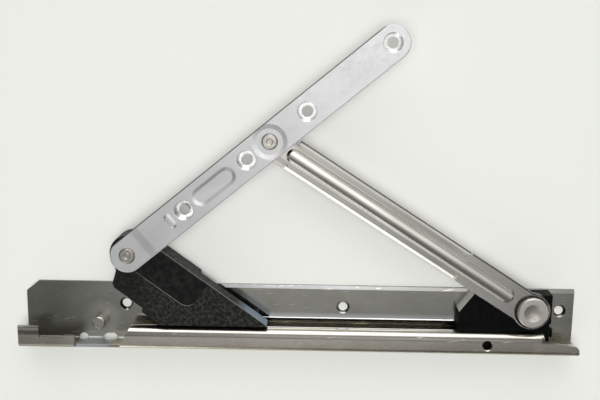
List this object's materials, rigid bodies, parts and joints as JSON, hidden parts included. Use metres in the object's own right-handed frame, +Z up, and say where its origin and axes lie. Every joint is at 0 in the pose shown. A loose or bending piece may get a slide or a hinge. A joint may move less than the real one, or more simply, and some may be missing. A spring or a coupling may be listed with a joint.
{
  "type": "friction stay",
  "caption": "Window friction stay: folded steel track with a sliding wedge shoe, a ribbed short arm and a flat sash arm with screw holes.",
  "frame": {"origin": "centre of the track's flat underside", "axes": "+X along the track towards the fixed pivot, +Y towards the side that the sash opens to, +Z up from the underside"},
  "size_m": [0.273, 0.1578, 0.0174],
  "materials": {
    "bright_stainless": "bright cold-rolled stainless sheet with faint scratches",
    "rolled_stainless": "cold-rolled stainless sheet, brushed along its length",
    "satin_stainless": "tumbled satin stainless",
    "rivet_steel": "turned steel with a warm tint",
    "black_moulding": "glass-filled nylon, dull black",
    "blacked_plate": "blacked steel plate"
  },
  "bodies": {
    "track": {"track": "bright_stainless", "locating_stud": "rivet_steel", "end_block": "black_moulding", "pivot_rivet": "rivet_steel", "friction_washer": "black_moulding"},
    "short_arm": {"short_arm": "rolled_stainless", "pivot_bush": "black_moulding", "mid_washer": "black_moulding"},
    "sash_arm": {"sash_arm": "satin_stainless", "mid_rivet": "rivet_steel", "shoe_rivet": "rivet_steel"},
    "shoe": {"shoe_body": "black_moulding", "shoe_link": "blacked_plate", "shoe_washer": "black_moulding"}
  },
  "joints": [
    {"name": "short_arm_swing", "type": "hinge", "parent": "track", "child": "short_arm", "pos_m": [0.112, 0.0077, 0.0126], "axis": [0, 0, -1], "range_deg": [-21.8, 11.1]},
    {"name": "sash_arm_turn", "type": "hinge", "parent": "short_arm", "child": "sash_arm", "pos_m": [-0.01469, 0.08857, 0.0132], "axis": [0, 0, 1], "range_deg": [-61.6, 31.4]},
    {"name": "shoe_turn", "type": "hinge", "parent": "sash_arm", "child": "shoe", "pos_m": [-0.08163, 0.033, 0.0132], "axis": [0, 0, 1], "range_deg": [-20.3, 39.8]}
  ],
  "couplings": [
    {"joint": "sash_arm_turn", "follows": "short_arm_swing", "ratio": 2.82},
    {"joint": "shoe_turn", "follows": "short_arm_swing", "ratio": -1.82}
  ]
}
